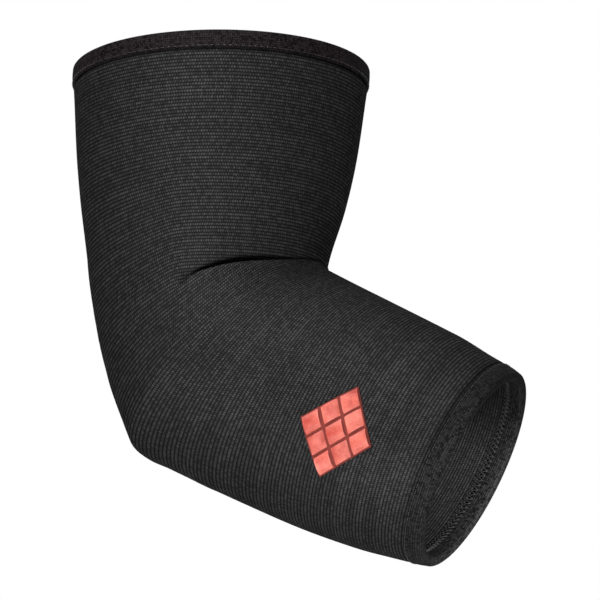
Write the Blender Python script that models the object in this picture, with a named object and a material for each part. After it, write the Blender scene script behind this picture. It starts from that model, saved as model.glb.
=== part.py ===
# Knitted elbow sleeve in its worn form, bent at the elbow, with a folded tape at each end.
# Lengths are in metres and angles in degrees. The origin is the centre of the elbow's hollow,
# +Z runs up the upper arm, and the arm bends in the plane of X and Z with the forearm toward +X.
import math
from collections import namedtuple

import bmesh
import bpy
from mathutils import Vector

# Upper arm and forearm
UPPER_LENGTH = 0.0973
UPPER_WIDTH = 0.1048
UPPER_RIM_LEAN = 1.8
FOREARM_LENGTH = 0.1078
FOREARM_WIDTH = 0.0728
FOREARM_RIM_LEAN = 0.7
DEPTH_SHARE = 0.95

# Elbow
BEND = 63.5
CROOK_RADIUS = 0.004
ELBOW_POINT_HEIGHT = 0.0058
FOLD_DEPTH = 0.008
FOLD_SPAN = 92.0
FOLD_POWER = 4
FOLD_LIFT_SHARE = 0.065
FOLD_LIFT_POWER = 6

# Knit and tapes
WALL = 0.0024
EDGE_WALL = 0.0016
GAP = 0.0003
TAPE_THICKNESS = 0.0008
TAPE_WIDTH = 0.0055
TAPE_END_STEP = 0.001
TAPE_SHOULDER_OUT_SHARE = 0.75
TAPE_SHOULDER_UP_SHARE = 0.6

# Emblem on the near side of the forearm
EMBLEM_LENGTH = 0.027
EMBLEM_WIDTH = 0.034
EMBLEM_THICKNESS = 0.0009
EMBLEM_EDGE = 0.0004
EMBLEM_GROOVE = 0.0009
EMBLEM_PLACE_SHARE = 0.53
EMBLEM_TURN = 105.0
EMBLEM_CELLS = 3

# Fineness
SIDES = 40
UPPER_BANDS = 9
FOREARM_BANDS = 10
SHARP_ANGLE = 50.0

# Sections of the two straight stretches: place from the elbow (0) to the rim (1),
# then the reach toward the inner and the outer side as shares of half the rim's width.
Section = namedtuple("Section", "place inner outer")
UPPER_SECTIONS = (
    Section(0.00, 0.771, 0.857),
    Section(0.06, 0.786, 0.870),
    Section(0.32, 0.882, 0.926),
    Section(0.58, 0.946, 0.968),
    Section(0.83, 0.980, 0.994),
    Section(1.00, 0.994, 1.006),
)
FOREARM_SECTIONS = (
    Section(0.00, 1.090, 1.300),
    Section(0.16, 1.082, 1.287),
    Section(0.37, 1.077, 1.265),
    Section(0.68, 1.066, 1.188),
    Section(0.86, 1.022, 1.102),
    Section(0.95, 0.996, 1.046),
    Section(1.00, 0.981, 1.019),
)

# Rings round the elbow: turn from the upper arm (0) to the forearm (1), rise of the elbow's
# point as a share of its height, sink of the fold outside and under it as shares of its depth,
# and the tuck of the forearm's bank back over the fold as a share of the bend.
Ring = namedtuple("Ring", "turn rise sink under tuck")
ELBOW_RINGS = (
    Ring(0.00, 0.00, 0.00, 0.00, 0.000),
    Ring(0.07, -0.12, 0.00, 0.00, 0.000),
    Ring(0.13, -0.20, 0.02, 0.05, 0.000),
    Ring(0.19, -0.24, 0.10, 0.20, 0.000),
    Ring(0.24, -0.24, 0.32, 0.48, 0.000),
    Ring(0.28, -0.21, 0.68, 0.78, 0.000),
    Ring(0.305, -0.18, 1.00, 0.88, 0.000),
    Ring(0.32, -0.17, 0.72, 0.90, -0.012),
    Ring(0.33, -0.15, 0.22, 0.89, -0.020),
    Ring(0.345, -0.13, -0.06, 0.84, -0.020),
    Ring(0.37, -0.09, -0.11, 0.64, -0.010),
    Ring(0.41, -0.02, -0.08, 0.32, 0.000),
    Ring(0.47, 0.15, -0.03, 0.08, 0.000),
    Ring(0.53, 0.32, 0.00, 0.00, 0.000),
    Ring(0.60, 0.57, 0.00, 0.00, 0.000),
    Ring(0.65, 0.82, 0.00, 0.00, 0.000),
    Ring(0.69, 1.00, 0.00, 0.00, 0.000),
    Ring(0.74, 0.85, 0.00, 0.00, 0.000),
    Ring(0.81, 0.45, 0.00, 0.00, 0.000),
    Ring(0.90, 0.15, 0.00, 0.00, 0.000),
    Ring(1.00, 0.00, 0.00, 0.00, 0.000),
)

# Colours of the photograph, as linear red, green and blue
KNIT_COLOUR = (0.024, 0.023, 0.024)
TAPE_COLOUR = (0.017, 0.013, 0.014)
THREAD_COLOUR = (0.74, 0.15, 0.10)

# The forearm's direction, and the direction square to it toward the inner side
FALL = math.radians(90.0 - BEND)
FOREARM_AXIS = Vector((math.cos(FALL), 0.0, -math.sin(FALL)))
FOREARM_ACROSS = Vector((math.sin(FALL), 0.0, math.cos(FALL)))
UPPER_AXIS = Vector((0.0, 0.0, 1.0))
UPPER_ACROSS = Vector((1.0, 0.0, 0.0))
NEAR = Vector((0.0, -1.0, 0.0))


def along_rows(rows, field, column, value):
    # A smooth curve through the table's rows that never overshoots them.
    xs = [getattr(row, field) for row in rows]
    ys = [getattr(row, column) for row in rows]
    value = min(max(value, xs[0]), xs[-1])
    slopes = [(ys[i + 1] - ys[i]) / (xs[i + 1] - xs[i]) for i in range(len(xs) - 1)]
    tangents = [slopes[0]]
    for before, after in zip(slopes, slopes[1:]):
        same_way = before * after > 0.0
        tangents.append(2.0 * before * after / (before + after) if same_way else 0.0)
    tangents.append(slopes[-1])
    i = max(k for k in range(len(xs) - 1) if xs[k] <= value)
    width = xs[i + 1] - xs[i]
    t = (value - xs[i]) / width
    start = (1.0 + 2.0 * t) * (1.0 - t) ** 2 * ys[i] + t * (1.0 - t) ** 2 * width * tangents[i]
    end = t * t * (3.0 - 2.0 * t) * ys[i + 1] + t * t * (t - 1.0) * width * tangents[i + 1]
    return start + end


def ease(value):
    value = min(max(value, 0.0), 1.0)
    return value * value * (3.0 - 2.0 * value)


def crook_pivot():
    # The point outside the crook that every ring of the elbow turns about.
    across_upper = UPPER_WIDTH / 2 * UPPER_SECTIONS[0].inner + CROOK_RADIUS
    across_forearm = FOREARM_WIDTH / 2 * FOREARM_SECTIONS[0].inner + CROOK_RADIUS
    height = (across_forearm - FOREARM_ACROSS.x * across_upper) / FOREARM_ACROSS.z
    return Vector((across_upper, 0.0, height))


PIVOT = crook_pivot()


def straight_ring(place, sections, width, length, axis, across, lean):
    # Inner point, outer point and half depth of a ring of a straight stretch. A place past 1
    # lies beyond the rim, where the section no longer changes.
    start = PIVOT.dot(axis)
    distance = start + place * (length - start)
    inner = width / 2 * along_rows(sections, "place", "inner", place)
    outer = width / 2 * along_rows(sections, "place", "outer", place)
    slope = math.tan(math.radians(lean)) * ease(place)
    inner_point = axis * (distance + slope * inner) + across * inner
    outer_point = axis * (distance - slope * outer) - across * outer
    return inner_point, outer_point, DEPTH_SHARE * (inner + outer) / 2


def upper_ring(place):
    return straight_ring(
        place, UPPER_SECTIONS, UPPER_WIDTH, UPPER_LENGTH, UPPER_AXIS, UPPER_ACROSS, UPPER_RIM_LEAN
    )


def forearm_ring(place):
    return straight_ring(
        place,
        FOREARM_SECTIONS,
        FOREARM_WIDTH,
        FOREARM_LENGTH,
        FOREARM_AXIS,
        FOREARM_ACROSS,
        -FOREARM_RIM_LEAN,
    )


def upper_place(from_rim):
    return 1.0 - from_rim / (UPPER_LENGTH - PIVOT.dot(UPPER_AXIS))


def forearm_place(from_rim):
    return 1.0 - from_rim / (FOREARM_LENGTH - PIVOT.dot(FOREARM_AXIS))


def section_point(ring, angle, inset):
    # A point of an elliptic section: angle 0 is its inner side, 90 the near side, 180 the outer.
    inner_point, outer_point, half_depth = ring
    half = (outer_point - inner_point).length / 2 - inset
    centre = (inner_point + outer_point) / 2
    inward = (inner_point - outer_point).normalized()
    turn = math.radians(angle)
    return centre + inward * half * math.cos(turn) + NEAR * (half_depth - inset) * math.sin(turn)


def fold_share(angle):
    # How strong the fold is at an angle of the section: full in the crook, none past its end.
    from_crook = min(angle, 360.0 - angle)
    return max(0.0, 1.0 - (from_crook / FOLD_SPAN) ** FOLD_POWER)


def side_lift(turn, angle):
    # How far the rings arch up toward the upper arm on the two sides, as a share of the bend.
    arch = 4.0 * turn * (1.0 - turn)
    return FOLD_LIFT_SHARE * arch * math.sin(math.radians(angle)) ** FOLD_LIFT_POWER


def elbow_point(row, angle, inset, sink):
    # A point of a ring of the elbow, sunk square to the section where the fold runs.
    share = fold_share(angle)
    start = upper_ring(0.0)
    end = forearm_ring(0.0)
    tuck = row.tuck * share if inset == 0.0 else 0.0
    heading = math.radians(BEND * (row.turn + tuck - side_lift(row.turn, angle)))
    outward = Vector((-math.cos(heading), 0.0, -math.sin(heading)))
    blend = ease(row.turn)
    start_reach = (start[1] - start[0]).length
    end_reach = (end[1] - end[0]).length
    reach = start_reach + (end_reach - start_reach) * blend + ELBOW_POINT_HEIGHT * row.rise
    half_depth = start[2] + (end[2] - start[2]) * blend
    inner_point = PIVOT + outward * CROOK_RADIUS
    outer_point = PIVOT + outward * (CROOK_RADIUS + reach)
    point = section_point((inner_point, outer_point, half_depth), angle, inset)
    round_turn = math.radians(angle)
    normal = -outward * math.cos(round_turn) * half_depth
    normal = normal + NEAR * math.sin(round_turn) * reach / 2
    return point - normal.normalized() * FOLD_DEPTH * sink * share


def ring_angles():
    return [360.0 * k / SIDES for k in range(SIDES)]


def stretch_insets():
    # Distances from a rim and the share of the pinch there: full under the tape, then none.
    return ((0.0, 1.0), (TAPE_WIDTH + GAP, 1.0), (TAPE_WIDTH + GAP + TAPE_END_STEP, 0.0))


def stretch_rows(place_of, bands):
    # Places from the rim down to the elbow, each with its pinch.
    rows = [(place_of(distance), pinch) for distance, pinch in stretch_insets()]
    last = rows[-1][0]
    rows += [(last * (1.0 - k / bands), 0.0) for k in range(1, bands)]
    return rows


def knit_wall(inset, sink_column):
    # Rings of points from the upper rim, round the elbow, to the forearm rim.
    pinch_depth = (WALL - EDGE_WALL) / 2
    pinch_way = 1.0 if inset == 0.0 else -1.0
    rings = []
    for place, pinch in stretch_rows(upper_place, UPPER_BANDS):
        ring_inset = inset + pinch_way * pinch * pinch_depth
        rings.append([section_point(upper_ring(place), a, ring_inset) for a in ring_angles()])
    for row in ELBOW_RINGS:
        sink = getattr(row, sink_column)
        rings.append([elbow_point(row, a, inset, sink) for a in ring_angles()])
    for place, pinch in reversed(stretch_rows(forearm_place, FOREARM_BANDS)):
        ring_inset = inset + pinch_way * pinch * pinch_depth
        rings.append([section_point(forearm_ring(place), a, ring_inset) for a in ring_angles()])
    return rings


def closed_loft(name, rings, material):
    # A closed band through rings of points: the last ring joins the first again.
    shape = bmesh.new()
    loops = [[shape.verts.new(point) for point in ring] for ring in rings]
    for here, following in zip(loops, loops[1:] + loops[:1]):
        for k in range(len(here)):
            right = (k + 1) % len(here)
            shape.faces.new((here[k], here[right], following[right], following[k]))
    return finished(name, shape, material)


def finished(name, shape, material):
    bmesh.ops.recalc_face_normals(shape, faces=shape.faces)
    mesh = bpy.data.meshes.new(name)
    shape.to_mesh(mesh)
    shape.free()
    mesh.shade_smooth()
    mesh.set_sharp_from_angle(angle=math.radians(SHARP_ANGLE))
    mesh.materials.append(material)
    item = bpy.data.objects.new(name, mesh)
    bpy.context.scene.collection.objects.link(item)
    return item


def cloth(name, colour, roughness):
    material = bpy.data.materials.new(name)
    material.use_nodes = True
    shader = material.node_tree.nodes["Principled BSDF"]
    shader.inputs["Base Color"].default_value = (*colour, 1.0)
    shader.inputs["Roughness"].default_value = roughness
    shader.inputs["Metallic"].default_value = 0.0
    return material


def sleeve():
    outside = knit_wall(0.0, "sink")
    inside = knit_wall(WALL, "under")
    return closed_loft("sleeve", outside + inside[::-1], cloth("knit", KNIT_COLOUR, 0.9))


def tape_profile():
    # The folded tape's section: distance out from the middle of the knit, and from the rim.
    inside = EDGE_WALL / 2 + GAP
    outside = inside + TAPE_THICKNESS
    top = -GAP - TAPE_THICKNESS
    shoulder = top * TAPE_SHOULDER_UP_SHARE
    shoulder_out = outside * TAPE_SHOULDER_OUT_SHARE
    return (
        (outside, TAPE_WIDTH),
        (outside, 0.0),
        (shoulder_out, shoulder),
        (0.0, top),
        (-shoulder_out, shoulder),
        (-outside, 0.0),
        (-outside, TAPE_WIDTH),
        (-inside, TAPE_WIDTH),
        (-inside, -GAP),
        (inside, -GAP),
        (inside, TAPE_WIDTH),
    )


def binding(name, ring_of, place_of, material):
    rings = []
    for out, from_rim in tape_profile():
        ring = ring_of(place_of(from_rim))
        rings.append([section_point(ring, a, WALL / 2 - out) for a in ring_angles()])
    return closed_loft(name, rings, material)


def emblem_steps():
    # Places across the lozenge, each with whether it lies on a cell's top (1) or in a groove (0).
    side = math.hypot(EMBLEM_LENGTH, EMBLEM_WIDTH) / 2
    slope = EMBLEM_GROOVE / side
    steps = []
    for cell in range(EMBLEM_CELLS):
        start = cell / EMBLEM_CELLS
        end = (cell + 1) / EMBLEM_CELLS
        steps += [(start, 0.0), (start + slope, 1.0), ((start + end) / 2, 1.0), (end - slope, 1.0)]
    return steps + [(1.0, 0.0)]


def emblem_point(first, second, lift):
    # A point over the forearm: the lozenge's diagonals run along the arm and round it.
    along = (first + second - 1.0) * EMBLEM_LENGTH / 2
    around = (first - second) * EMBLEM_WIDTH / 2
    reach = FOREARM_LENGTH - PIVOT.dot(FOREARM_AXIS)
    ring = forearm_ring(EMBLEM_PLACE_SHARE + along / reach)
    radius = ((ring[0] - ring[1]).length / 2 + ring[2]) / 2
    return section_point(ring, EMBLEM_TURN + math.degrees(around / radius), -lift)


def embroidered_emblem():
    # A low lozenge of small diamonds, grooved between them, that follows the forearm.
    steps = emblem_steps()
    shape = bmesh.new()
    fronts = []
    backs = []
    for first, first_top in steps:
        rise = EMBLEM_THICKNESS - EMBLEM_EDGE
        lifts = [GAP + EMBLEM_EDGE + rise * first_top * top for _, top in steps]
        points = [emblem_point(first, second, lift) for (second, _), lift in zip(steps, lifts)]
        fronts.append([shape.verts.new(point) for point in points])
        backs.append([shape.verts.new(emblem_point(first, second, GAP)) for second, _ in steps])
    last = len(steps) - 1
    for i in range(last):
        for k in range(last):
            for sheet in (fronts, backs):
                shape.faces.new((sheet[i][k], sheet[i + 1][k], sheet[i + 1][k + 1], sheet[i][k + 1]))
        for k in (0, last):
            shape.faces.new((fronts[i][k], fronts[i + 1][k], backs[i + 1][k], backs[i][k]))
            shape.faces.new((fronts[k][i], fronts[k][i + 1], backs[k][i + 1], backs[k][i]))
    return finished("embroidered_emblem", shape, cloth("thread", THREAD_COLOUR, 0.5))


def main():
    for item in list(bpy.data.objects):
        bpy.data.objects.remove(item)
    tape = cloth("tape", TAPE_COLOUR, 0.7)
    sleeve()
    binding("upper_binding", upper_ring, upper_place, tape)
    binding("forearm_binding", forearm_ring, forearm_place, tape)
    embroidered_emblem()


main()
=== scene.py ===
# Knitted elbow sleeve in its worn form, with a folded tape at each rim and an embroidered lozenge
# Metres. +Z runs up the upper arm, the forearm goes toward +X and downward,
# and the emblem is on the near side (-Y).
import math

import bpy
import numpy as np
from mathutils import Matrix, Vector


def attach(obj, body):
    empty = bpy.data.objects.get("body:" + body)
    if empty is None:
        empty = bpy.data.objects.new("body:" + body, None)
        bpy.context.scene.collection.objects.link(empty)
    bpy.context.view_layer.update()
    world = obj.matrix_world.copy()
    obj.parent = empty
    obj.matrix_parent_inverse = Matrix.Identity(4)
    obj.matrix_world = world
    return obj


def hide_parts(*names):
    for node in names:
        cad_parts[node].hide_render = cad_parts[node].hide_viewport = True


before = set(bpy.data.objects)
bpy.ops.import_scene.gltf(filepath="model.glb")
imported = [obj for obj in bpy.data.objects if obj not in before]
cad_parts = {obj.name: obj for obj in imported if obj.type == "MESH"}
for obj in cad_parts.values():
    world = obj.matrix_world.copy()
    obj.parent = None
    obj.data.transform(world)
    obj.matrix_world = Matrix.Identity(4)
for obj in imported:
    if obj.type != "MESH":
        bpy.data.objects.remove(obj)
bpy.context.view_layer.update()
print("frame loaded:", sorted(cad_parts))

# Worn form, with the sizes of the CAD sleeve
form = {
    "upperLength": 0.0973,
    "upperWidth": 0.1048,
    "upperRimLean": 1.8,
    "forearmLength": 0.1078,
    "forearmWidth": 0.0728,
    "forearmRimLean": 0.7,
    "depthShare": 0.95,
    "bend": 63.5,
    "crookRadius": 0.004,
    "elbowPointHeight": 0.0058,
    "foldDepth": 0.008,
    "foldLift": 0.065,
    "foldLiftPower": 6,
    "wall": 0.0024,
    "edgeWall": 0.0016,
    "gap": 0.0003,
}
# place from the elbow to the rim, then reach to the inner and the outer side,
# as shares of half the rim's width
upperSections = (
    (0.00, 0.771, 0.857),
    (0.06, 0.786, 0.870),
    (0.32, 0.882, 0.926),
    (0.58, 0.946, 0.968),
    (0.83, 0.980, 0.994),
    (1.00, 0.994, 1.006),
)
forearmSections = (
    (0.00, 1.090, 1.300),
    (0.16, 1.082, 1.287),
    (0.37, 1.077, 1.265),
    (0.68, 1.066, 1.188),
    (0.86, 1.022, 1.102),
    (0.95, 0.996, 1.046),
    (1.00, 0.981, 1.019),
)
# turn round the elbow, rise of its point, sink of the fold outside and inside,
# tuck of the bank below the fold
elbowRings = (
    (0.00, 0.00, 0.00, 0.00, 0.000),
    (0.07, -0.12, 0.00, 0.00, 0.000),
    (0.13, -0.20, 0.02, 0.05, 0.000),
    (0.19, -0.24, 0.10, 0.20, 0.000),
    (0.24, -0.24, 0.32, 0.48, 0.000),
    (0.28, -0.21, 0.68, 0.78, 0.000),
    (0.305, -0.18, 1.12, 1.00, 0.000),
    (0.32, -0.17, 0.80, 1.02, -0.016),
    (0.33, -0.15, 0.24, 1.00, -0.028),
    (0.345, -0.13, -0.06, 0.92, -0.028),
    (0.37, -0.09, -0.11, 0.66, -0.012),
    (0.41, -0.02, -0.08, 0.32, 0.000),
    (0.47, 0.15, -0.03, 0.08, 0.000),
    (0.53, 0.32, 0.00, 0.00, 0.000),
    (0.60, 0.57, 0.00, 0.00, 0.000),
    (0.65, 0.82, 0.00, 0.00, 0.000),
    (0.69, 1.00, 0.00, 0.00, 0.000),
    (0.74, 0.85, 0.00, 0.00, 0.000),
    (0.81, 0.45, 0.00, 0.00, 0.000),
    (0.90, 0.15, 0.00, 0.00, 0.000),
    (1.00, 0.00, 0.00, 0.00, 0.000),
)
# angle from the crook, then how far the fold's line strays from its ring, as a share of the bend
foldPath = (
    (0.0, 0.0),
    (14.0, 0.025),
    (28.0, 0.065),
    (38.0, 0.055),
    (50.0, 0.030),
    (66.0, 0.010),
    (80.0, 0.018),
    (90.0, 0.062),
    (98.0, 0.120),
)
# angle from the crook, then the share of the fold's depth
foldStrength = (
    (0.0, 0.88),
    (8.0, 0.42),
    (18.0, 0.13),
    (27.0, 0.14),
    (38.0, 0.32),
    (50.0, 0.72),
    (60.0, 0.90),
    (70.0, 0.72),
    (79.0, 0.42),
    (88.0, 0.24),
    (97.0, 0.0),
    (180.0, 0.0),
)
fall = math.radians(90.0 - form["bend"])
upperAxis = np.array((0.0, 0.0, 1.0))
upperAcross = np.array((1.0, 0.0, 0.0))
forearmAxis = np.array((math.cos(fall), 0.0, -math.sin(fall)))
forearmAcross = np.array((math.sin(fall), 0.0, math.cos(fall)))
nearSide = np.array((0.0, -1.0, 0.0))


def throughRows(rows, column, values):
    # smooth curve through a table's rows that never overshoots them
    xs = np.array([row[0] for row in rows])
    ys = np.array([row[column] for row in rows])
    values = np.clip(values, xs[0], xs[-1])
    slopes = np.diff(ys) / np.diff(xs)
    before, after = slopes[:-1], slopes[1:]
    total = before + after
    sameWay = before * after > 0.0
    inner = np.where(sameWay, 2.0 * before * after / np.where(sameWay, total, 1.0), 0.0)
    tangents = np.concatenate([slopes[:1], inner, slopes[-1:]])
    i = np.clip(np.searchsorted(xs, values, side="right") - 1, 0, len(xs) - 2)
    width = xs[i + 1] - xs[i]
    t = (values - xs[i]) / width
    start = (1.0 + 2.0 * t) * (1.0 - t) ** 2 * ys[i] + t * (1.0 - t) ** 2 * width * tangents[i]
    end = t * t * (3.0 - 2.0 * t) * ys[i + 1] + t * t * (t - 1.0) * width * tangents[i + 1]
    return start + end


def ease(values):
    values = np.clip(values, 0.0, 1.0)
    return values * values * (3.0 - 2.0 * values)


def crookPivot():
    acrossUpper = form["upperWidth"] / 2 * upperSections[0][1] + form["crookRadius"]
    acrossForearm = form["forearmWidth"] / 2 * forearmSections[0][1] + form["crookRadius"]
    height = (acrossForearm - forearmAcross[0] * acrossUpper) / forearmAcross[2]
    return np.array((acrossUpper, 0.0, height))


pivot = crookPivot()


def straightRings(places, sections, width, length, axis, across, lean):
    # inner point, outer point and half depth of rings of a straight stretch
    places = np.asarray(places, float)
    start = float(pivot @ axis)
    distance = start + places * (length - start)
    inner = width / 2 * throughRows(sections, 1, places)
    outer = width / 2 * throughRows(sections, 2, places)
    slope = math.tan(math.radians(lean)) * ease(places)
    innerPoints = axis * (distance + slope * inner)[:, None] + across * inner[:, None]
    outerPoints = axis * (distance - slope * outer)[:, None] - across * outer[:, None]
    return innerPoints, outerPoints, form["depthShare"] * (inner + outer) / 2


def upperRings(places):
    return straightRings(
        places,
        upperSections,
        form["upperWidth"],
        form["upperLength"],
        upperAxis,
        upperAcross,
        form["upperRimLean"],
    )


def forearmRings(places):
    return straightRings(
        places,
        forearmSections,
        form["forearmWidth"],
        form["forearmLength"],
        forearmAxis,
        forearmAcross,
        -form["forearmRimLean"],
    )


def upperPlace(fromRim):
    return 1.0 - np.asarray(fromRim, float) / (form["upperLength"] - float(pivot @ upperAxis))


def forearmPlace(fromRim):
    return 1.0 - np.asarray(fromRim, float) / (form["forearmLength"] - float(pivot @ forearmAxis))


def onSection(rings, angles, inset):
    # points of elliptic sections: angle 0 is the inner side, 90 the near side, 180 the outer
    innerPoints, outerPoints, halfDepth = rings
    span = np.linalg.norm(outerPoints - innerPoints, axis=-1, keepdims=True)
    inward = (innerPoints - outerPoints) / span
    centre = (innerPoints + outerPoints) / 2
    turn = np.radians(angles)
    inset = np.broadcast_to(inset, span.shape[:-1])
    if innerPoints.ndim == 2:
        inward, centre, span = inward[:, None], centre[:, None], span[:, None]
        halfDepth, inset, turn = halfDepth[:, None], inset[:, None], turn[None]
    toCrook = (span[..., 0] / 2 - inset) * np.cos(turn)
    toNear = (halfDepth - inset) * np.sin(turn)
    return centre + inward * toCrook[..., None] + nearSide * toNear[..., None]


def fromCrook(angles):
    return np.minimum(angles, 360.0 - angles)


def elbowPoints(turns, angles, inset, outside):
    # rings that turn about the pivot, sunk where the fold runs
    turns = np.asarray(turns, float)[:, None]
    angles = np.asarray(angles, float)[None]
    share = throughRows(foldStrength, 1, fromCrook(angles))
    rise = throughRows(elbowRings, 1, turns)
    strayed = turns - throughRows(foldPath, 1, fromCrook(angles))
    sink = throughRows(elbowRings, 2 if outside else 3, strayed)
    tuck = throughRows(elbowRings, 4, strayed) * share * (1.0 if outside else 0.0)
    midway = 4.0 * turns * (1.0 - turns)
    lift = form["foldLift"] * midway * np.sin(np.radians(angles)) ** form["foldLiftPower"]
    heading = np.radians(form["bend"] * (turns + tuck - lift))
    outward = np.stack([-np.cos(heading), np.zeros_like(heading), -np.sin(heading)], axis=-1)
    startInner, startOuter, startDepth = upperRings([0.0])
    endInner, endOuter, endDepth = forearmRings([0.0])
    blend = ease(turns)
    startReach = np.linalg.norm(startOuter - startInner)
    endReach = np.linalg.norm(endOuter - endInner)
    reach = startReach + (endReach - startReach) * blend + form["elbowPointHeight"] * rise
    reach = np.broadcast_to(reach, heading.shape)
    halfDepth = np.broadcast_to(startDepth + (endDepth - startDepth) * blend, heading.shape)
    innerPoints = pivot + outward * form["crookRadius"]
    outerPoints = pivot + outward * (form["crookRadius"] + reach)[..., None]
    rings = (innerPoints, outerPoints, halfDepth)
    points = onSection(rings, np.broadcast_to(angles, heading.shape), inset)
    turn = np.radians(angles)
    normals = nearSide * (np.sin(turn) * reach / 2)[..., None]
    normals = normals - outward * (np.cos(turn) * halfDepth)[..., None]
    normals /= np.linalg.norm(normals, axis=-1, keepdims=True)
    return points - normals * (form["foldDepth"] * sink * share)[..., None]


# Camera at the photograph's angle, a pale floor far below, white behind, soft lights
studio = {
    "azimuth": 14.6,
    "elevation": -14.0,
    "roll": 2.35,
    "distance": 2.0,
    "metresPerPixel": 0.0003525,
    "pictureSide": 600,
    "sensorWidth": 36.0,
    "centreRight": 0.0316425,
    "centreUp": 0.0133725,
    "farthest": 50.0,
    "floorHeight": -0.95,
    "floorHalf": 6.0,
    "floorDark": (0.80, 0.80, 0.80, 1.0),
    "floorLight": (0.86, 0.86, 0.86, 1.0),
    "floorGrain": 3.0,
    "floorRoughness": 0.8,
    "backdrop": (1.0, 1.0, 1.0),
    "roomLight": 0.15,
    "lampSize": 0.5,
}


def wayTo(azimuth, elevation):
    # azimuth 0 is the near side, 90 the side where the forearm ends
    azimuth, elevation = math.radians(azimuth), math.radians(elevation)
    level = math.cos(elevation)
    return Vector((math.sin(azimuth) * level, -math.cos(azimuth) * level, math.sin(elevation)))


def makeCamera():
    azimuth, roll = math.radians(studio["azimuth"]), math.radians(studio["roll"])
    back = wayTo(studio["azimuth"], studio["elevation"])
    flatRight = Vector((math.cos(azimuth), math.sin(azimuth), 0.0))
    flatUp = back.cross(flatRight)
    right = flatRight * math.cos(roll) + flatUp * math.sin(roll)
    up = flatUp * math.cos(roll) - flatRight * math.sin(roll)
    centre = right * studio["centreRight"] + up * studio["centreUp"]
    pictureWidth = studio["pictureSide"] * studio["metresPerPixel"]
    data = bpy.data.cameras.new("photoCamera")
    camera = bpy.data.objects.new("photoCamera", data)
    bpy.context.scene.collection.objects.link(camera)
    data.sensor_width = studio["sensorWidth"]
    data.lens = studio["sensorWidth"] * studio["distance"] / pictureWidth
    data.clip_end = studio["farthest"]
    turned = Matrix((right, up, back)).transposed().to_4x4()
    camera.matrix_world = Matrix.Translation(centre + back * studio["distance"]) @ turned
    bpy.context.scene.camera = camera
    return centre


viewCentre = makeCamera()
print("camera set")


def newObject(name, points, faces, material):
    mesh = bpy.data.meshes.new(name)
    mesh.from_pydata([tuple(p) for p in points], [], faces)
    mesh.update()
    item = bpy.data.objects.new(name, mesh)
    bpy.context.scene.collection.objects.link(item)
    mesh.materials.append(material)
    return item


def tubeMesh(name, rings, uAcross, vAlong, material):
    # a skin through a closed loop of rings, with a texture map that runs on past its seam
    count, sides = rings.shape[:2]
    points = rings.reshape(-1, 3)
    here = np.arange(count * sides).reshape(count, sides)
    following = np.roll(here, -1, 0)
    corners = [here, np.roll(here, -1, 1), np.roll(following, -1, 1), following]
    faces = np.stack(corners, axis=-1).reshape(-1, 4)
    mesh = bpy.data.meshes.new(name)
    mesh.vertices.add(len(points))
    mesh.vertices.foreach_set("co", points.astype(np.float32).ravel())
    mesh.loops.add(faces.size)
    mesh.loops.foreach_set("vertex_index", faces.astype(np.int32).ravel())
    mesh.polygons.add(len(faces))
    mesh.polygons.foreach_set("loop_start", np.arange(0, faces.size, 4, dtype=np.int32))
    mesh.polygons.foreach_set("loop_total", np.full(len(faces), 4, dtype=np.int32))
    mesh.update(calc_edges=True)
    wide = np.concatenate([uAcross, [2.0 * uAcross[-1] - uAcross[-2]]])
    u = np.stack([wide[:-1], wide[1:], wide[1:], wide[:-1]], axis=-1)
    u = np.broadcast_to(u[None], (count, sides, 4))
    v = np.concatenate([vAlong, vAlong[:1]], axis=0)
    v = np.concatenate([v, v[:, :1]], axis=1)
    v = np.stack([v[:-1, :-1], v[:-1, 1:], v[1:, 1:], v[1:, :-1]], axis=-1)
    layer = mesh.uv_layers.new(name="clothMap")
    layer.data.foreach_set("uv", np.stack([u, v], axis=-1).astype(np.float32).ravel())
    mesh.polygons.foreach_set("use_smooth", np.ones(len(faces), dtype=bool))
    mesh.validate()
    mesh.materials.append(material)
    item = bpy.data.objects.new(name, mesh)
    bpy.context.scene.collection.objects.link(item)
    return item


# Short helpers for node trees
def socket(tree, value, target):
    if isinstance(value, bpy.types.NodeSocket):
        tree.links.new(value, target)
    else:
        target.default_value = value


def calc(tree, operation, *values):
    made = tree.nodes.new("ShaderNodeMath")
    made.operation = operation
    for target, value in zip(made.inputs, values):
        socket(tree, value, target)
    return made.outputs[0]


def aroundOne(tree, value, share):
    # a noise of mean one half turned into a factor of mean one
    return calc(tree, "MULTIPLY_ADD", calc(tree, "SUBTRACT", value, 0.5), share, 1.0)


def node(tree, kind, inputs=None, **settings):
    made = tree.nodes.new(kind)
    for key, value in settings.items():
        setattr(made, key, value)
    for key, value in (inputs or {}).items():
        socket(tree, value, made.inputs[key])
    return made


def noise(tree, place, scale, detail):
    inputs = {"Vector": place, "Scale": scale, "Detail": detail}
    return node(tree, "ShaderNodeTexNoise", inputs).outputs["Fac"]


def blendColours(tree, share, first, second):
    inputs = {"Factor": share, 6: first, 7: second}
    return node(tree, "ShaderNodeMix", inputs, data_type="RGBA").outputs[2]


def addBump(tree, shader, strength, depth, height):
    inputs = {"Strength": strength, "Distance": depth, "Height": height}
    bump = node(tree, "ShaderNodeBump", inputs)
    tree.links.new(bump.outputs["Normal"], shader.inputs["Normal"])


def newMaterial(name):
    material = bpy.data.materials.new(name)
    material.use_nodes = True
    return material, material.node_tree, material.node_tree.nodes["Principled BSDF"]


def shadeGroup(name, inputs, outputs):
    tree = bpy.data.node_groups.new(name, "ShaderNodeTree")
    for label, kind, value in inputs:
        made = tree.interface.new_socket(name=label, in_out="INPUT", socket_type=kind)
        if value is not None:
            made.default_value = value
    for label, kind in outputs:
        tree.interface.new_socket(name=label, in_out="OUTPUT", socket_type=kind)
    return tree, tree.nodes.new("NodeGroupInput").outputs, tree.nodes.new("NodeGroupOutput").inputs


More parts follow.
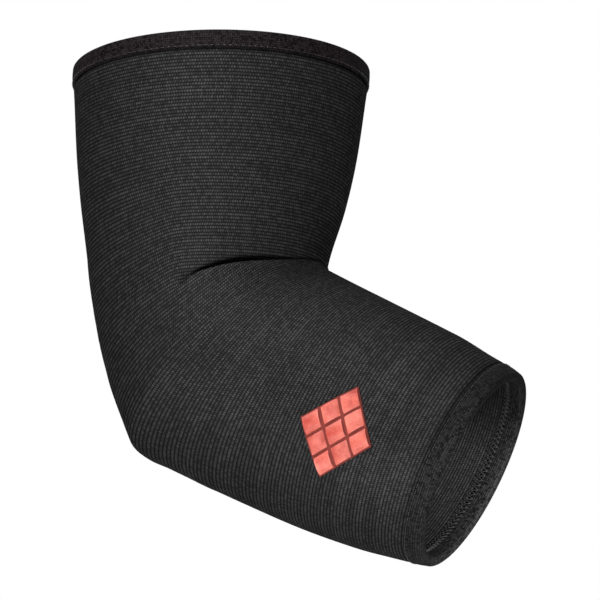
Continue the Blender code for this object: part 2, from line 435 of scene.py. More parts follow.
def placeGroup(tree, group, inputs):
    made = tree.nodes.new("ShaderNodeGroup")
    made.node_tree = group
    for key, value in inputs.items():
        socket(tree, value, made.inputs[key])
    return made.outputs


# Knit: rows of small stitches, each row half a stitch beside the last
stitchShape = {"acrossRow": 2.2, "alongRow": 2.0}


def makeStitchRows():
    tree, given, out = shadeGroup(
        "stitchRows",
        (
            ("Map", "NodeSocketVector", None),
            ("Roundness", "NodeSocketFloat", 0.5),
            ("Row Shift", "NodeSocketFloat", 0.0),
            ("Row Difference", "NodeSocketFloat", 0.1),
            ("Stitch Difference", "NodeSocketFloat", 0.1),
        ),
        (("Height", "NodeSocketFloat"), ("Light", "NodeSocketFloat")),
    )
    parts = node(tree, "ShaderNodeSeparateXYZ", {"Vector": given["Map"]}).outputs
    across, along = parts["X"], parts["Y"]
    row = calc(tree, "FLOOR", along)
    inRow = calc(tree, "FRACT", along)
    shifted = calc(tree, "MULTIPLY_ADD", calc(tree, "PINGPONG", row, 1.0), 0.5, across)
    rowNoise = node(tree, "ShaderNodeTexWhiteNoise", {"W": row}, noise_dimensions="1D")
    rowNoise = rowNoise.outputs["Value"]
    shifted = calc(tree, "MULTIPLY_ADD", rowNoise, given["Row Shift"], shifted)
    inStitch = calc(tree, "FRACT", shifted)
    fromMiddle = calc(tree, "ABSOLUTE", calc(tree, "MULTIPLY_ADD", inRow, 2.0, -1.0))
    fromStitch = calc(tree, "ABSOLUTE", calc(tree, "MULTIPLY_ADD", inStitch, 2.0, -1.0))
    dome = calc(tree, "SUBTRACT", 1.0, calc(tree, "POWER", fromMiddle, stitchShape["acrossRow"]))
    bead = calc(tree, "SUBTRACT", 1.0, calc(tree, "POWER", fromStitch, stitchShape["alongRow"]))
    flat = calc(tree, "SUBTRACT", 1.0, given["Roundness"])
    height = calc(tree, "MULTIPLY", dome, calc(tree, "MULTIPLY_ADD", bead, given["Roundness"], flat))
    column = calc(tree, "FLOOR", shifted)
    cell = node(tree, "ShaderNodeCombineXYZ", {"X": column, "Y": row}).outputs["Vector"]
    cellNoise = node(tree, "ShaderNodeTexWhiteNoise", {"Vector": cell}, noise_dimensions="2D")
    byRow = aroundOne(tree, rowNoise, given["Row Difference"])
    byStitch = aroundOne(tree, cellNoise.outputs["Value"], given["Stitch Difference"])
    light = calc(tree, "MULTIPLY", byRow, byStitch)
    tree.links.new(height, out["Height"])
    tree.links.new(light, out["Light"])
    return tree


knit = {
    "wales": 330,
    "rowPitch": 0.0012,
    "innerRowShare": 1.12,
    "upperPuff": 0.00045,
    "forearmPuff": 0.0007,
    "puffRise": 0.0012,
    "puffFade": 0.006,
    "loosened": 0.75,
    "upperLoosened": 0.95,
    "forearmLoosened": 0.7,
    "foldEnd": 97.0,
    "foldEndSpan": 4.0,
    "pastStart": 0.297,
    "pastSpan": 0.018,
    "crowdAbove": 1.5,
    "crowdBelow": 17.0,
    "dark": (0.0018, 0.0018, 0.0018, 1.0),
    "light": (0.042, 0.0414, 0.0417, 1.0),
    "stitchShare": 0.68,
    "evenShade": 0.11,
    # share of painted shade at the edges, where the cloth turns away from the camera
    "paintedEdgeShade": 0.48,
    "roughness": 0.9,
    "coat": 1.0,
    "coatIor": 1.57,
    "coatRoughness": 0.67,
    "yarnScale": 1500.0,
    "yarnUneven": 0.9,
    "patchScale": 55.0,
    "patchUneven": 0.5,
    "stitchPower": 1.7,
    "yarnHeight": 0.25,
    "bumpStrength": 0.6,
    "bumpDepth": 0.00035,
    "stitches": {"Roundness": 0.72, "Row Shift": 0.3, "Row Difference": 0.35, "Stitch Difference": 0.9},
}
stitchRows = makeStitchRows()


def makeKnitMaterial():
    material, tree, shader = newMaterial("blackKnit")
    cloth = node(tree, "ShaderNodeUVMap", uv_map="clothMap").outputs["UV"]
    place = node(tree, "ShaderNodeTexCoord").outputs["Object"]
    rows = placeGroup(tree, stitchRows, {"Map": cloth, **knit["stitches"]})
    yarn = noise(tree, place, knit["yarnScale"], 2.0)
    patches = noise(tree, place, knit["patchScale"], 3.0)
    uneven = aroundOne(tree, yarn, knit["yarnUneven"])
    uneven = calc(tree, "MULTIPLY", uneven, aroundOne(tree, patches, knit["patchUneven"]))
    uneven = calc(tree, "MULTIPLY", uneven, rows["Light"])
    # painted shade: the colour runs from light on the raised stitches to near black in the gaps between
    # them, where shade falls; the yarn, patch, row and stitch differences are the yarn's own tone
    raised = calc(tree, "POWER", rows["Height"], knit["stitchPower"])
    stitch = calc(tree, "MULTIPLY", raised, uneven)
    shade = calc(tree, "MULTIPLY_ADD", stitch, knit["stitchShare"], knit["evenShade"])
    # painted shade: the base colour darkens where the cloth turns away from the camera, in place of the
    # light falling off toward the edges
    facing = node(tree, "ShaderNodeLayerWeight", {"Blend": 0.5}).outputs["Facing"]
    paintedEdgeDimming = calc(tree, "MULTIPLY_ADD", facing, -knit["paintedEdgeShade"], 1.0)
    seen = calc(tree, "MULTIPLY", shade, paintedEdgeDimming)
    colour = blendColours(tree, seen, knit["dark"], knit["light"])
    tree.links.new(colour, shader.inputs["Base Color"])
    shader.inputs["Roughness"].default_value = knit["roughness"]
    shader.inputs["Specular IOR Level"].default_value = 0.0
    shader.inputs["Coat IOR"].default_value = knit["coatIor"]
    shader.inputs["Coat Roughness"].default_value = knit["coatRoughness"]
    coat = node(tree, "ShaderNodeClamp", {"Value": calc(tree, "MULTIPLY", shade, knit["coat"])})
    tree.links.new(coat.outputs["Result"], shader.inputs["Coat Weight"])
    height = calc(tree, "MULTIPLY_ADD", yarn, knit["yarnHeight"], rows["Height"])
    addBump(tree, shader, knit["bumpStrength"], knit["bumpDepth"], height)
    return material


knitMaterial = makeKnitMaterial()


# Sleeve: outer face from rim to rim, inner face back again, one closed wall
fineness = {
    "sides": 240,
    "upperRings": 44,
    "forearmRings": 50,
    "elbowRings": 150,
    "innerShare": 0.42,
    "turnSamples": 2001,
    "foldExtra": 3.0,
    "foldMiddle": 0.325,
    "foldSpan": 0.07,
    "besideTape": (0.0, 0.0004, 0.0008, 0.0013, 0.002, 0.003, 0.0045, 0.0065),
    "beyondTape": 0.009,
}
tapeSize = {"width": 0.0055, "thickness": 0.0008, "endStep": 0.001}
angles = np.arange(fineness["sides"]) * 360.0 / fineness["sides"]


def spreadTurns(count):
    # rings of the elbow, up to four times as close where the fold runs
    fine = np.linspace(0.0, 1.0, fineness["turnSamples"])
    fromFold = (fine - fineness["foldMiddle"]) / fineness["foldSpan"]
    weight = 1.0 + fineness["foldExtra"] * np.exp(-(fromFold**2))
    cumulative = np.concatenate([[0.0], np.cumsum((weight[1:] + weight[:-1]) / 2)])
    return np.interp(np.linspace(0.0, cumulative[-1], count), cumulative, fine)


def stretchFace(placeOf, ringsOf, count, inset, pinchDepth, puff):
    # one face of a straight stretch, pinched under the tape and swollen beside it
    tapeEnd = tapeSize["width"] + form["gap"]
    reach = float(1.0 - placeOf(1.0))
    closeBy = tapeEnd + np.array(fineness["besideTape"])
    farther = np.linspace(tapeEnd + fineness["beyondTape"], 1.0 / reach, count)[:-1]
    fromRim = np.concatenate([[0.0, tapeEnd / 2], closeBy, farther])
    beyond = fromRim - tapeEnd
    pinch = 1.0 - ease(beyond / tapeSize["endStep"])
    rise = puff * ease(beyond / knit["puffRise"])
    swell = rise * np.exp(-np.maximum(0.0, beyond) / knit["puffFade"])
    places = placeOf(fromRim)
    return places, onSection(ringsOf(places), angles, inset + pinch * pinchDepth - swell)


def wallFace(outside, share):
    # rings of points of one face, and for each how far the cloth is loosened there
    # and which side of the fold it is on
    inset = 0.0 if outside else form["wall"]
    pinchDepth = (form["wall"] - form["edgeWall"]) / 2 * (1.0 if outside else -1.0)
    upperPuff = knit["upperPuff"] if outside else 0.0
    forearmPuff = knit["forearmPuff"] if outside else 0.0
    upperCount = int(fineness["upperRings"] * share)
    forearmCount = int(fineness["forearmRings"] * share)
    turns = spreadTurns(int(fineness["elbowRings"] * share))
    upper, upperSkin = stretchFace(
        upperPlace, upperRings, upperCount, inset, pinchDepth, upperPuff
    )
    lower, lowerSkin = stretchFace(
        forearmPlace, forearmRings, forearmCount, inset, pinchDepth, forearmPuff
    )
    skin = np.concatenate([upperSkin, elbowPoints(turns, angles, inset, outside), lowerSkin[::-1]])
    most = knit["loosened"]
    loosened = np.concatenate(
        [
            most * ease((knit["upperLoosened"] - upper) / knit["upperLoosened"]),
            most + (1.0 - most) * np.sin(np.pi * turns),
            most * ease(1.0 - lower[::-1] / knit["forearmLoosened"]),
        ]
    )
    strayed = turns[:, None] - throughRows(foldPath, 1, fromCrook(angles))[None]
    inElbow = ease((strayed - knit["pastStart"]) / knit["pastSpan"])
    past = np.concatenate([np.zeros(upperSkin.shape[:2]), inElbow, np.ones(lowerSkin.shape[:2])])
    return skin, loosened, past


def courseNumbers(skin, loosened, past):
    # rows counted down each line of stitches: the elbow's outer side spreads them,
    # the crook crowds and hides some
    steps = np.linalg.norm(np.diff(skin, axis=0), axis=2)
    middle = ((loosened[1:] + loosened[:-1]) / 2)[:, None]
    below = (past[1:] + past[:-1]) / 2
    weights = np.stack([steps * middle * (1.0 - below), steps * middle * below])
    sums = weights.sum(axis=1)
    length = steps.sum(axis=0)
    away = fromCrook(angles)
    order = np.argsort(away, kind="stable")
    edge = knit["foldEnd"]
    pitch = knit["rowPitch"]
    atEdge = float(np.interp(edge, away[order], length[order]))
    rows = atEdge / pitch
    spread = (length - atEdge) / pitch * sums / sums.sum(axis=0)
    for part, most in enumerate((knit["crowdAbove"], knit["crowdBelow"])):
        near = float(np.interp(edge, away[order], spread[part][order]))
        far = float(np.interp(edge + knit["foldEndSpan"], away[order], spread[part][order]))
        slope = (far - near) / knit["foldEndSpan"]
        crowded = near - most * np.tanh(slope * (edge - away) / most)
        spread[part] = np.where(away < edge, crowded, spread[part])
    counted = steps / pitch - (weights * (spread / sums)[:, None]).sum(axis=0)
    total = np.cumsum(counted, axis=0)
    hidden = np.where(away < edge, rows - total[-1], 0.0)
    total = np.concatenate([np.zeros((1, total.shape[1])), total])
    return total + past * hidden


def makeSleeve():
    outer, outerLoose, outerPast = wallFace(True, 1.0)
    inner, innerLoose, innerPast = wallFace(False, fineness["innerShare"])
    outerRows = courseNumbers(outer, outerLoose, outerPast)
    innerRows = courseNumbers(inner, innerLoose, innerPast) * knit["innerRowShare"]
    rings = np.concatenate([outer, inner[::-1]])
    rows = np.concatenate([outerRows, innerRows[::-1]])
    wales = angles / 360.0 * knit["wales"]
    return tubeMesh("knittedSleeve", rings, wales, rows, knitMaterial)


knittedSleeve = makeSleeve()
print("sleeve:", len(knittedSleeve.data.polygons), "faces")


# Tapes: a U section folded over each rim, a little fuller than the flat tape
tape = {
    "crown": 0.00018,
    "rollSteps": 9,
    "rimRow": 8,
    "pitch": 0.0008,
    "upperDark": (0.0016, 0.0010, 0.0012, 1.0),
    "upperLight": (0.027, 0.0205, 0.0220, 1.0),
    # the forearm tape is the same cloth as the upper tape, in a lighter copy of its colours as painted
    # light
    "forearmLitCopyDark": (0.0016, 0.0014, 0.0015, 1.0),
    "forearmLitCopyLight": (0.0265, 0.0253, 0.0258, 1.0),
    "patchScale": 700.0,
    "patchUneven": 2.2,
    "roughness": 0.55,
    "specular": 0.08,
    "bumpStrength": 0.5,
    "bumpDepth": 0.0002,
    "stitches": {"Roundness": 0.8, "Row Shift": 1.0, "Row Difference": 0.4, "Stitch Difference": 1.7},
}


def makeTapeMaterial(name, dark, light):
    material, tree, shader = newMaterial(name)
    cloth = node(tree, "ShaderNodeUVMap", uv_map="clothMap").outputs["UV"]
    place = node(tree, "ShaderNodeTexCoord").outputs["Object"]
    rows = placeGroup(tree, stitchRows, {"Map": cloth, **tape["stitches"]})
    patches = noise(tree, place, tape["patchScale"], 3.0)
    uneven = aroundOne(tree, patches, tape["patchUneven"])
    # painted shade: the colour runs from light on the raised stitches to dark in the gaps between them,
    # where shade falls; the patches and the row and stitch differences are the tape's own tone
    shade = calc(tree, "MULTIPLY", calc(tree, "MULTIPLY", rows["Height"], uneven), rows["Light"])
    tree.links.new(blendColours(tree, shade, dark, light), shader.inputs["Base Color"])
    shader.inputs["Roughness"].default_value = tape["roughness"]
    shader.inputs["Specular IOR Level"].default_value = tape["specular"]
    addBump(tree, shader, tape["bumpStrength"], tape["bumpDepth"], rows["Height"])
    return material


upperTapeMaterial = makeTapeMaterial("upperTapeCloth", tape["upperDark"], tape["upperLight"])
forearmTapeMaterial = makeTapeMaterial("forearmTapeClothLitCopy", tape["forearmLitCopyDark"], tape["forearmLitCopyLight"])


def tapeSection():
    # out from the middle of the knit, and from the rim, down one side, over and down the other
    within = form["edgeWall"] / 2 + form["gap"]
    thick = tapeSize["thickness"]
    out = within + thick
    over = form["gap"] + thick
    width = tapeSize["width"]
    crown = tape["crown"]
    flap = [
        (within, width - 0.0002),
        (within + 0.3 * thick, width),
        (within + 0.8 * thick, width - 0.00015),
        (out + 0.3 * crown, width * 0.9),
        (out + 0.8 * crown, width * 0.72),
        (out + crown, width * 0.5),
        (out + 0.7 * crown, width * 0.28),
        (out + 0.2 * crown, width * 0.1),
    ]
    turns = np.linspace(0.0, math.pi, tape["rollSteps"] + 2)
    roll = [(out * math.cos(turn), -over * math.sin(turn)) for turn in turns]
    far = [(-aside, fromRim) for aside, fromRim in flap[::-1]]
    middle = width * 0.5
    top = -form["gap"]
    under = [(-within, middle), (-within, top), (within, top), (within, middle)]
    return flap + roll + far + under


def makeTape(name, ringsOf, placeOf, material):
    section = tapeSection()
    rings = []
    for out, fromRim in section:
        rings.append(onSection(ringsOf([placeOf(fromRim)]), angles, form["wall"] / 2 - out)[0])
    rings = np.stack(rings)
    steps = np.linalg.norm(np.diff(np.array(section), axis=0), axis=1)
    path = np.concatenate([[0.0], np.cumsum(steps)])
    rim = rings[tape["rimRow"]]
    around = np.linalg.norm(np.diff(np.concatenate([rim, rim[:1]]), axis=0), axis=1).sum()
    u = angles / 360.0 * round(around / tape["pitch"])
    v = np.repeat((path / tape["pitch"])[:, None], len(angles), axis=1)
    return tubeMesh(name, rings, u, v, material)


upperTape = makeTape("upperTape", upperRings, upperPlace, upperTapeMaterial)
forearmTape = makeTape("forearmTape", forearmRings, forearmPlace, forearmTapeMaterial)
print("tapes:", len(upperTape.data.polygons), len(forearmTape.data.polygons), "faces")


# Threads: each edge of a guide mesh becomes one round thread that arches off the cloth
thread = {
    "archPower": 3.0,
    "slimPower": 4.0,
    "slimBy": 0.45,
    "sides": 5,
    "stitchSteps": 6,
    "toneScale": 190.0,
    "bumpStrength": 0.3,
    "bumpDepth": 0.00005,
}


def makeThreadTree():
    tree = bpy.data.node_groups.new("sewnThreads", "GeometryNodeTree")
    face = tree.interface
    face.new_socket(name="Geometry", in_out="INPUT", socket_type="NodeSocketGeometry")
    ids = {}
    for label, kind, value in (
        ("Thread Radius", "NodeSocketFloat", 0.0002),
        ("Arch Height", "NodeSocketFloat", 0.0002),
        ("Steps", "NodeSocketInt", 6),
        ("Sides", "NodeSocketInt", 5),
        ("Thread Material", "NodeSocketMaterial", None),
    ):
        made = face.new_socket(name=label, in_out="INPUT", socket_type=kind)
        if value is not None:
            made.default_value = value
        ids[label] = made.identifier
    face.new_socket(name="Geometry", in_out="OUTPUT", socket_type="NodeSocketGeometry")
    given = tree.nodes.new("NodeGroupInput").outputs
    out = tree.nodes.new("NodeGroupOutput").inputs
    line = node(tree, "GeometryNodeMeshToCurve", {"Mesh": given["Geometry"]}).outputs["Curve"]
    fine = node(tree, "GeometryNodeResampleCurve", {"Curve": line, "Count": given["Steps"]})
    factor = tree.nodes.new("GeometryNodeSplineParameter").outputs["Factor"]
    fromMiddle = calc(tree, "ABSOLUTE", calc(tree, "MULTIPLY_ADD", factor, 2.0, -1.0))
    arch = calc(tree, "SUBTRACT", 1.0, calc(tree, "POWER", fromMiddle, thread["archPower"]))
    inputs = {"Name": "outward"}
    outward = node(tree, "GeometryNodeInputNamedAttribute", inputs, data_type="FLOAT_VECTOR")
    rise = calc(tree, "MULTIPLY", arch, given["Arch Height"])
    inputs = {0: outward.outputs["Attribute"], "Scale": rise}
    offset = node(tree, "ShaderNodeVectorMath", inputs, operation="SCALE").outputs["Vector"]
    inputs = {"Geometry": fine.outputs["Curve"], "Offset": offset}
    arched = node(tree, "GeometryNodeSetPosition", inputs).outputs["Geometry"]
    toEnds = calc(tree, "POWER", fromMiddle, thread["slimPower"])
    slim = calc(tree, "MULTIPLY_ADD", toEnds, -thread["slimBy"], 1.0)
    shaped = node(tree, "GeometryNodeSetCurveRadius", {"Curve": arched, "Radius": slim})
    inputs = {"Resolution": given["Sides"], "Radius": given["Thread Radius"]}
    ring = node(tree, "GeometryNodeCurvePrimitiveCircle", inputs).outputs["Curve"]
    inputs = {"Curve": shaped.outputs["Curve"], "Profile Curve": ring, "Fill Caps": True}
    skin = node(tree, "GeometryNodeCurveToMesh", inputs).outputs["Mesh"]
    soft = node(tree, "GeometryNodeSetShadeSmooth", {"Geometry": skin}).outputs["Geometry"]
    real = node(tree, "GeometryNodeRealizeInstances", {"Geometry": soft}).outputs["Geometry"]
    inputs = {"Geometry": real, "Material": given["Thread Material"]}
    done = node(tree, "GeometryNodeSetMaterial", inputs).outputs["Geometry"]
    tree.links.new(done, out["Geometry"])
    return tree, ids


threadTree, threadInputs = makeThreadTree()


def growThreads(name, starts, ends, outward, values):
    # guide edges from starts to ends, turned into threads and kept as a plain mesh
    count = len(starts)
    points = [tuple(p) for p in np.concatenate([starts, ends])]
    edges = [(i, i + count) for i in range(count)]
    guide = bpy.data.meshes.new(name + "Guide")
    guide.from_pydata(points, edges, [])
    attribute = guide.attributes.new("outward", "FLOAT_VECTOR", "POINT")
    attribute.data.foreach_set("vector", np.concatenate([outward, outward]).astype(np.float32).ravel())
    holder = bpy.data.objects.new(name + "Guide", guide)
    bpy.context.scene.collection.objects.link(holder)
    modifier = holder.modifiers.new("sewnThreads", "NODES")
    modifier.node_group = threadTree
    for label, value in values.items():
        modifier[threadInputs[label]] = value
    bpy.context.view_layer.update()
    evaluated = holder.evaluated_get(bpy.context.evaluated_depsgraph_get())
    mesh = bpy.data.meshes.new_from_object(evaluated)
    mesh.name = name
    item = bpy.data.objects.new(name, mesh)
    bpy.context.scene.collection.objects.link(item)
    bpy.data.objects.remove(holder)
    return item


# Emblem: a padded lozenge of nine small diamonds, covered with satin stitches
emblem = {
    "length": 0.027,
    "width": 0.034,
    "place": 0.53,
    "turn": 105.0,
    "cells": 3,
    "padLift": 0.00075,
    "padFullness": 0.6,
    "crownPower": 4,
    "groove": 0.00035,
    "gridSteps": 10,
    "threadRadius": 0.00024,
    "threadPitch": 0.00046,
    "threadLift": 0.0001,
    "threadArch": 0.0008,
    "threadSteps": 8,
    "cellEdge": 0.085,
    "probe": 0.001,
    "grain": 2600.0,
    "drift": 2.0,
    "padColour": (0.13, 0.016, 0.012, 1.0),
    "padPale": (0.30, 0.045, 0.032, 1.0),
    "colour": (0.57, 0.060, 0.040, 1.0),
    "paintedSheenColour": (0.98, 0.285, 0.215, 1.0),
}


def onForearm(first, second, lift):
    # a point over the forearm: the lozenge's diagonals run along the arm and round it
    first, second = np.asarray(first, float), np.asarray(second, float)
    along = (first + second - 1.0) * emblem["length"] / 2
    around = (first - second) * emblem["width"] / 2
    reach = form["forearmLength"] - float(pivot @ forearmAxis)
    inner, outer, depth = forearmRings((emblem["place"] + along / reach).ravel())
    radius = (np.linalg.norm(inner - outer, axis=1) / 2 + depth) / 2
    turn = emblem["turn"] + np.degrees(around.ravel() / radius)
    lift = np.broadcast_to(lift, first.shape).ravel()
    rings = (inner[:, None], outer[:, None], depth[:, None])
    points = onSection(rings, turn[:, None], -lift[:, None])
    return points.reshape(first.shape + (3,))


def makeThreadMaterial(name, colour, pale, grain, drift=0.0, roughness=0.36, sheen=0.2):
    # colour and pale colour mixed by a fine grain, and by a broad one that drifts
    material, tree, shader = newMaterial(name)
    place = node(tree, "ShaderNodeTexCoord").outputs["Object"]
    fine = noise(tree, place, grain, 3.0)
    broad = noise(tree, place, thread["toneScale"], 2.0)
    tone = calc(tree, "MULTIPLY_ADD", calc(tree, "SUBTRACT", broad, 0.5), drift, fine)
    tree.links.new(blendColours(tree, tone, colour, pale), shader.inputs["Base Color"])
    shader.inputs["Roughness"].default_value = roughness
    shader.inputs["Sheen Weight"].default_value = sheen
    addBump(tree, shader, thread["bumpStrength"], thread["bumpDepth"], fine)
    return material


# on the emblem's satin the paler patches laid by the broad drifting noise are a painted sheen; the fine
# grain is the thread's own tone
coralThread = makeThreadMaterial(
    "coralThread", emblem["colour"], emblem["paintedSheenColour"], emblem["grain"], drift=emblem["drift"]
)
padCloth = makeThreadMaterial(
    "emblemPadCloth", emblem["padColour"], emblem["padPale"], emblem["grain"], roughness=0.9, sheen=0.0
)


def makeEmblemPad():
    steps = emblem["cells"] * emblem["gridSteps"]
    line = np.linspace(0.0, 1.0, steps + 1)
    first, second = np.meshgrid(line, line, indexing="ij")

    def crown(values):
        within = np.abs((values * emblem["cells"]) % 1.0 - 0.5) * 2.0
        return 1.0 - within ** emblem["crownPower"]

    bulge = emblem["padLift"] * crown(first) * crown(second) * emblem["padFullness"]
    lift = form["gap"] + emblem["groove"] + bulge
    front = onForearm(first, second, lift).reshape(-1, 3)
    back = onForearm(first, second, form["gap"]).reshape(-1, 3)
    side = steps + 1
    behind = side * side
    faces = []
    for i in range(steps):
        for k in range(steps):
            start = i * side + k
            face = (start, start + 1, start + side + 1, start + side)
            faces.append(face)
            faces.append(tuple(behind + corner for corner in face[::-1]))
    rim = list(range(side))
    rim += [i * side + steps for i in range(1, side)]
    rim += [steps * side + k for k in range(steps - 1, -1, -1)]
    rim += [i * side for i in range(steps - 1, 0, -1)]
    for here, following in zip(rim, rim[1:] + rim[:1]):
        faces.append((following, here, behind + here, behind + following))
    pad = newObject("emblemPad", np.concatenate([front, back]), faces, padCloth)
    pad.data.polygons.foreach_set("use_smooth", np.ones(len(pad.data.polygons), dtype=bool))
    return pad


def makeSatin():
    # threads lie side by side across each small diamond, turned the other way in every second one
    cells = emblem["cells"]
    edge = emblem["cellEdge"]
    side = math.hypot(emblem["length"], emblem["width"]) / 2 / cells
    count = int(side / emblem["threadPitch"])
    at = edge + (np.arange(count) + 0.5) / count * (1.0 - 2.0 * edge)
    low = np.full(count, edge)
    high = 1.0 - low
    height = form["gap"] + emblem["groove"] + emblem["threadLift"]
    starts, ends, outward = [], [], []
    for i in range(cells):
        for k in range(cells):
            if (i + k) % 2:
                first = ((i + at) / cells, (k + low) / cells)
                last = ((i + at) / cells, (k + high) / cells)
            else:
                first = ((i + low) / cells, (k + at) / cells)
                last = ((i + high) / cells, (k + at) / cells)
            middle = ((first[0] + last[0]) / 2, (first[1] + last[1]) / 2)
            lifted = onForearm(*middle, emblem["probe"]) - onForearm(*middle, 0.0)
            starts.append(onForearm(*first, height))
            ends.append(onForearm(*last, height))
            outward.append(lifted / np.linalg.norm(lifted, axis=1, keepdims=True))
    values = {
        "Thread Radius": emblem["threadRadius"],
        "Arch Height": emblem["threadArch"],
        "Steps": emblem["threadSteps"],
        "Sides": thread["sides"],
        "Thread Material": coralThread,
    }
    starts, ends, outward = np.concatenate(starts), np.concatenate(ends), np.concatenate(outward)
    return growThreads("satinThreads", starts, ends, outward, values)


emblemPad = makeEmblemPad()
satinThreads = makeSatin()
print("emblem:", len(emblemPad.data.polygons), len(satinThreads.data.polygons), "faces")


# Sewing: a needle line outside each tape, and inside a zigzag of two rows with its needle holes
sewing = {
    "needleStep": 0.0022,
    "needleFromEdge": 0.0007,
    "needleShare": 0.7,
    "needleRadius": 0.00014,
    "needleArch": 0.0002,
    "zigzagStep": 0.001,
    "zigzagUnder": 0.0012,
    "zigzagOver": 0.0013,
    "zigzagRadius": 0.00016,
    "zigzagArch": 0.0003,
    "offKnit": 0.0001,
    "holeLength": 0.0004,
    "holeAside": 0.00045,
    "holeRadius": 0.0003,
    "holeArch": 0.0001,
    "roundFromRim": 0.003,
    "roundSamples": 721,
    "grain": 3000.0,
    "needleColour": (0.006, 0.0045, 0.005, 1.0),
    "needlePale": (0.022, 0.017, 0.018, 1.0),
    "zigzagColour": (0.015, 0.013, 0.014, 1.0),
    "zigzagPale": (0.066, 0.061, 0.063, 1.0),
    "holeShadeColour": (0.0006, 0.0006, 0.0006, 1.0),
}
needleThread = makeThreadMaterial(
    "needleThread", sewing["needleColour"], sewing["needlePale"], sewing["grain"]
)
zigzagThread = makeThreadMaterial(
    "zigzagThread",
    sewing["zigzagColour"],
    sewing["zigzagPale"],
    sewing["grain"],
    roughness=0.6,
    sheen=0.0,
)
holeShade = makeThreadMaterial(
    "needleHoleShade",
    sewing["holeShadeColour"],
    sewing["holeShadeColour"],
    sewing["grain"],
    roughness=0.9,
    sheen=0.0,
)
tapeOut = form["edgeWall"] / 2 + form["gap"] + tapeSize["thickness"]


def sewingPoints(ringsOf, placeOf, fromRim, out, turns):
    inner, outer, depth = ringsOf(placeOf(np.broadcast_to(fromRim, turns.shape)))
    inset = np.broadcast_to(form["wall"] / 2 - out, turns.shape)
    rings = (inner[:, None], outer[:, None], depth[:, None])
    return onSection(rings, turns[:, None], inset[:, None])[:, 0]


def wayRound(ringsOf, placeOf):
    turns = np.linspace(0.0, 360.0, sewing["roundSamples"])
    points = sewingPoints(ringsOf, placeOf, sewing["roundFromRim"], tapeOut, turns)
    return np.linalg.norm(np.diff(points, axis=0), axis=1).sum()


def sewStitches(name, axis, side, starts, ends, kind, material):
    # stitches that arch away from the arm's axis for a side of 1, and toward it for -1
    middle = (starts + ends) / 2
    outward = middle - axis * (middle @ axis)[:, None]
    outward *= side / np.linalg.norm(outward, axis=1, keepdims=True)
    values = {
        "Thread Radius": sewing[kind + "Radius"],
        "Arch Height": sewing[kind + "Arch"],
        "Steps": thread["stitchSteps"],
        "Sides": thread["sides"],
        "Thread Material": material,
    }
    return growThreads(name, starts, ends, outward, values)


def makeNeedleLine(name, ringsOf, placeOf, axis):
    count = int(wayRound(ringsOf, placeOf) / sewing["needleStep"])
    at = np.arange(count) * 360.0 / count
    edge = tapeSize["width"] - sewing["needleFromEdge"]
    starts = sewingPoints(ringsOf, placeOf, edge, tapeOut, at)
    ends = sewingPoints(ringsOf, placeOf, edge, tapeOut, at + 360.0 / count * sewing["needleShare"])
    return sewStitches(name, axis, 1.0, starts, ends, "needle", needleThread)


def makeHoleShade(name, axis, points, aside):
    # short near-black stubs where the needle went in, as painted shade in the needle holes
    points = points + axis * (aside * sewing["holeAside"])[:, None]
    half = axis * sewing["holeLength"] / 2
    return sewStitches(name, axis, -1.0, points - half, points + half, "hole", holeShade)


def makeZigzag(name, ringsOf, placeOf, axis):
    count = int(wayRound(ringsOf, placeOf) / sewing["zigzagStep"] / 2) * 2
    at = np.arange(count) * 360.0 / count
    onTape = np.arange(count) % 2 == 0
    edge = tapeSize["width"]
    fromRim = np.where(onTape, edge - sewing["zigzagUnder"], edge + sewing["zigzagOver"])
    out = np.where(onTape, -tapeOut, -form["wall"] / 2 - sewing["offKnit"])
    starts = sewingPoints(ringsOf, placeOf, fromRim, out, at)
    ends = sewingPoints(ringsOf, placeOf, np.roll(fromRim, -1), np.roll(out, -1), at + 360.0 / count)
    threads = sewStitches(name, axis, -1.0, starts, ends, "zigzag", zigzagThread)
    holes = makeHoleShade(name + "Holes", axis, starts, np.where(onTape, 1.0, -1.0))
    return threads, holes


upperNeedleLine = makeNeedleLine("upperNeedleLine", upperRings, upperPlace, upperAxis)
forearmNeedleLine = makeNeedleLine("forearmNeedleLine", forearmRings, forearmPlace, forearmAxis)
upperZigzag = makeZigzag("upperZigzag", upperRings, upperPlace, upperAxis)
forearmZigzag = makeZigzag("forearmZigzag", forearmRings, forearmPlace, forearmAxis)
sewingLines = [upperNeedleLine, forearmNeedleLine, *upperZigzag, *forearmZigzag]
print("sewing:", [len(line.data.polygons) for line in sewingLines], "faces")


# Stage: a floor that shows from above only, and a white backdrop
def makeFloor():
    material, tree, shader = newMaterial("paleFloor")
    inputs = {"Scale": studio["floorGrain"], "Detail": 4.0}
    grain = node(tree, "ShaderNodeTexNoise", inputs).outputs["Fac"]
    tone = blendColours(tree, grain, studio["floorDark"], studio["floorLight"])
    tree.links.new(tone, shader.inputs["Base Color"])
    shader.inputs["Roughness"].default_value = studio["floorRoughness"]
    clear = node(tree, "ShaderNodeBsdfTransparent").outputs["BSDF"]
    under = node(tree, "ShaderNodeNewGeometry").outputs["Backfacing"]
    both = node(tree, "ShaderNodeMixShader", {0: under, 1: shader.outputs["BSDF"], 2: clear})
    tree.links.new(both.outputs["Shader"], tree.nodes["Material Output"].inputs["Surface"])
    half = studio["floorHalf"]
    z = studio["floorHeight"]
    corners = ((-half, -half, z), (half, -half, z), (half, half, z), (-half, half, z))
    floor = newObject("floor", corners, ((0, 1, 2, 3),), material)


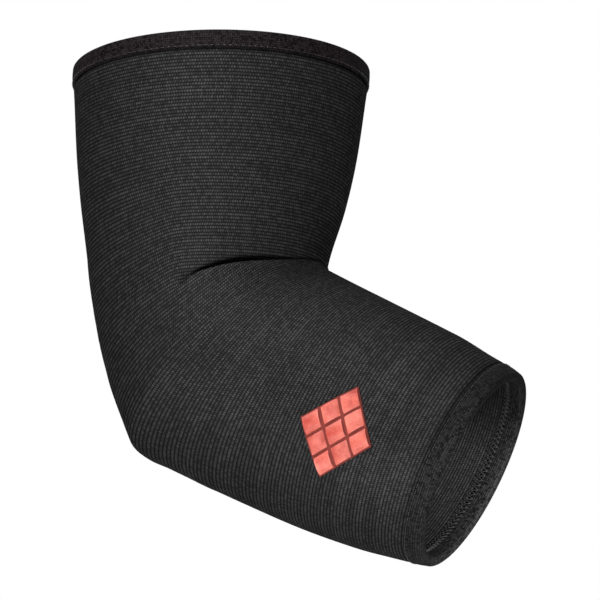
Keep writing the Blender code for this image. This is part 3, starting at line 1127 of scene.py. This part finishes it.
def makeWorld():
    world = bpy.data.worlds.new("studioWorld")
    bpy.context.scene.world = world
    world.use_nodes = True
    tree = world.node_tree
    tree.nodes.clear()
    seen = node(tree, "ShaderNodeLightPath").outputs["Is Camera Ray"]
    inputs = {"Color": (*studio["backdrop"], 1.0), "Strength": 1.0}
    white = node(tree, "ShaderNodeBackground", inputs).outputs[0]
    inputs = {"Color": (1.0, 1.0, 1.0, 1.0), "Strength": studio["roomLight"]}
    soft = node(tree, "ShaderNodeBackground", inputs).outputs[0]
    both = node(tree, "ShaderNodeMixShader", {0: seen, 1: soft, 2: white})
    node(tree, "ShaderNodeOutputWorld", {"Surface": both.outputs["Shader"]})


# Lights: four soft ones round the sleeve and a narrow one through the open end of the forearm
softLights = (
    # name, azimuth, elevation, distance, power
    ("keyLight", -5.0, 35.0, 1.6, 16.6),
    ("lowLight", -5.0, -45.0, 1.2, 11.4),
    ("topLight", 0.0, 85.0, 1.6, 6.2),
    ("rightLight", 120.0, 10.0, 1.6, 1.1),
)
mouthLight = {
    "azimuth": 48.0,
    "elevation": -10.0,
    "distance": 1.6,
    "power": 270.0,
    "spread": 1.3,
    "softEdge": 0.5,
    "radius": 0.01,
    "aimFromRim": 0.004,
    "aimFarSide": 0.016,
    "aimOuterSide": 0.010,
}


def placeLamp(name, kind, aim, azimuth, elevation, distance, power):
    way = wayTo(azimuth, elevation)
    data = bpy.data.lights.new(name, kind)
    data.energy = power
    lamp = bpy.data.objects.new(name, data)
    bpy.context.scene.collection.objects.link(lamp)
    lamp.location = aim + way * distance
    lamp.rotation_mode = "QUATERNION"
    lamp.rotation_quaternion = (-way).to_track_quat("-Z", "Y")
    return data


def placeMouthLight():
    farWall = forearmAxis * (form["forearmLength"] - mouthLight["aimFromRim"])
    farWall = farWall - nearSide * mouthLight["aimFarSide"] - forearmAcross * mouthLight["aimOuterSide"]
    row = [mouthLight[key] for key in ("azimuth", "elevation", "distance", "power")]
    data = placeLamp("mouthLight", "SPOT", Vector(farWall), *row)
    data.spot_size = math.radians(2.0 * mouthLight["spread"])
    data.spot_blend = mouthLight["softEdge"]
    data.shadow_soft_size = mouthLight["radius"]


makeFloor()
makeWorld()
for name, *row in softLights:
    lampData = placeLamp(name, "AREA", viewCentre, *row)
    lampData.shape = "DISK"
    lampData.size = studio["lampSize"]
placeMouthLight()
bpy.context.scene.view_settings.view_transform = "Standard"
print("stage and lights set")

pieces = [knittedSleeve, upperTape, forearmTape, emblemPad, satinThreads, *sewingLines]
for piece in pieces:
    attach(piece, "root")
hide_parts("sleeve")
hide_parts("upper_binding")
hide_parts("forearm_binding")
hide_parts("embroidered_emblem")
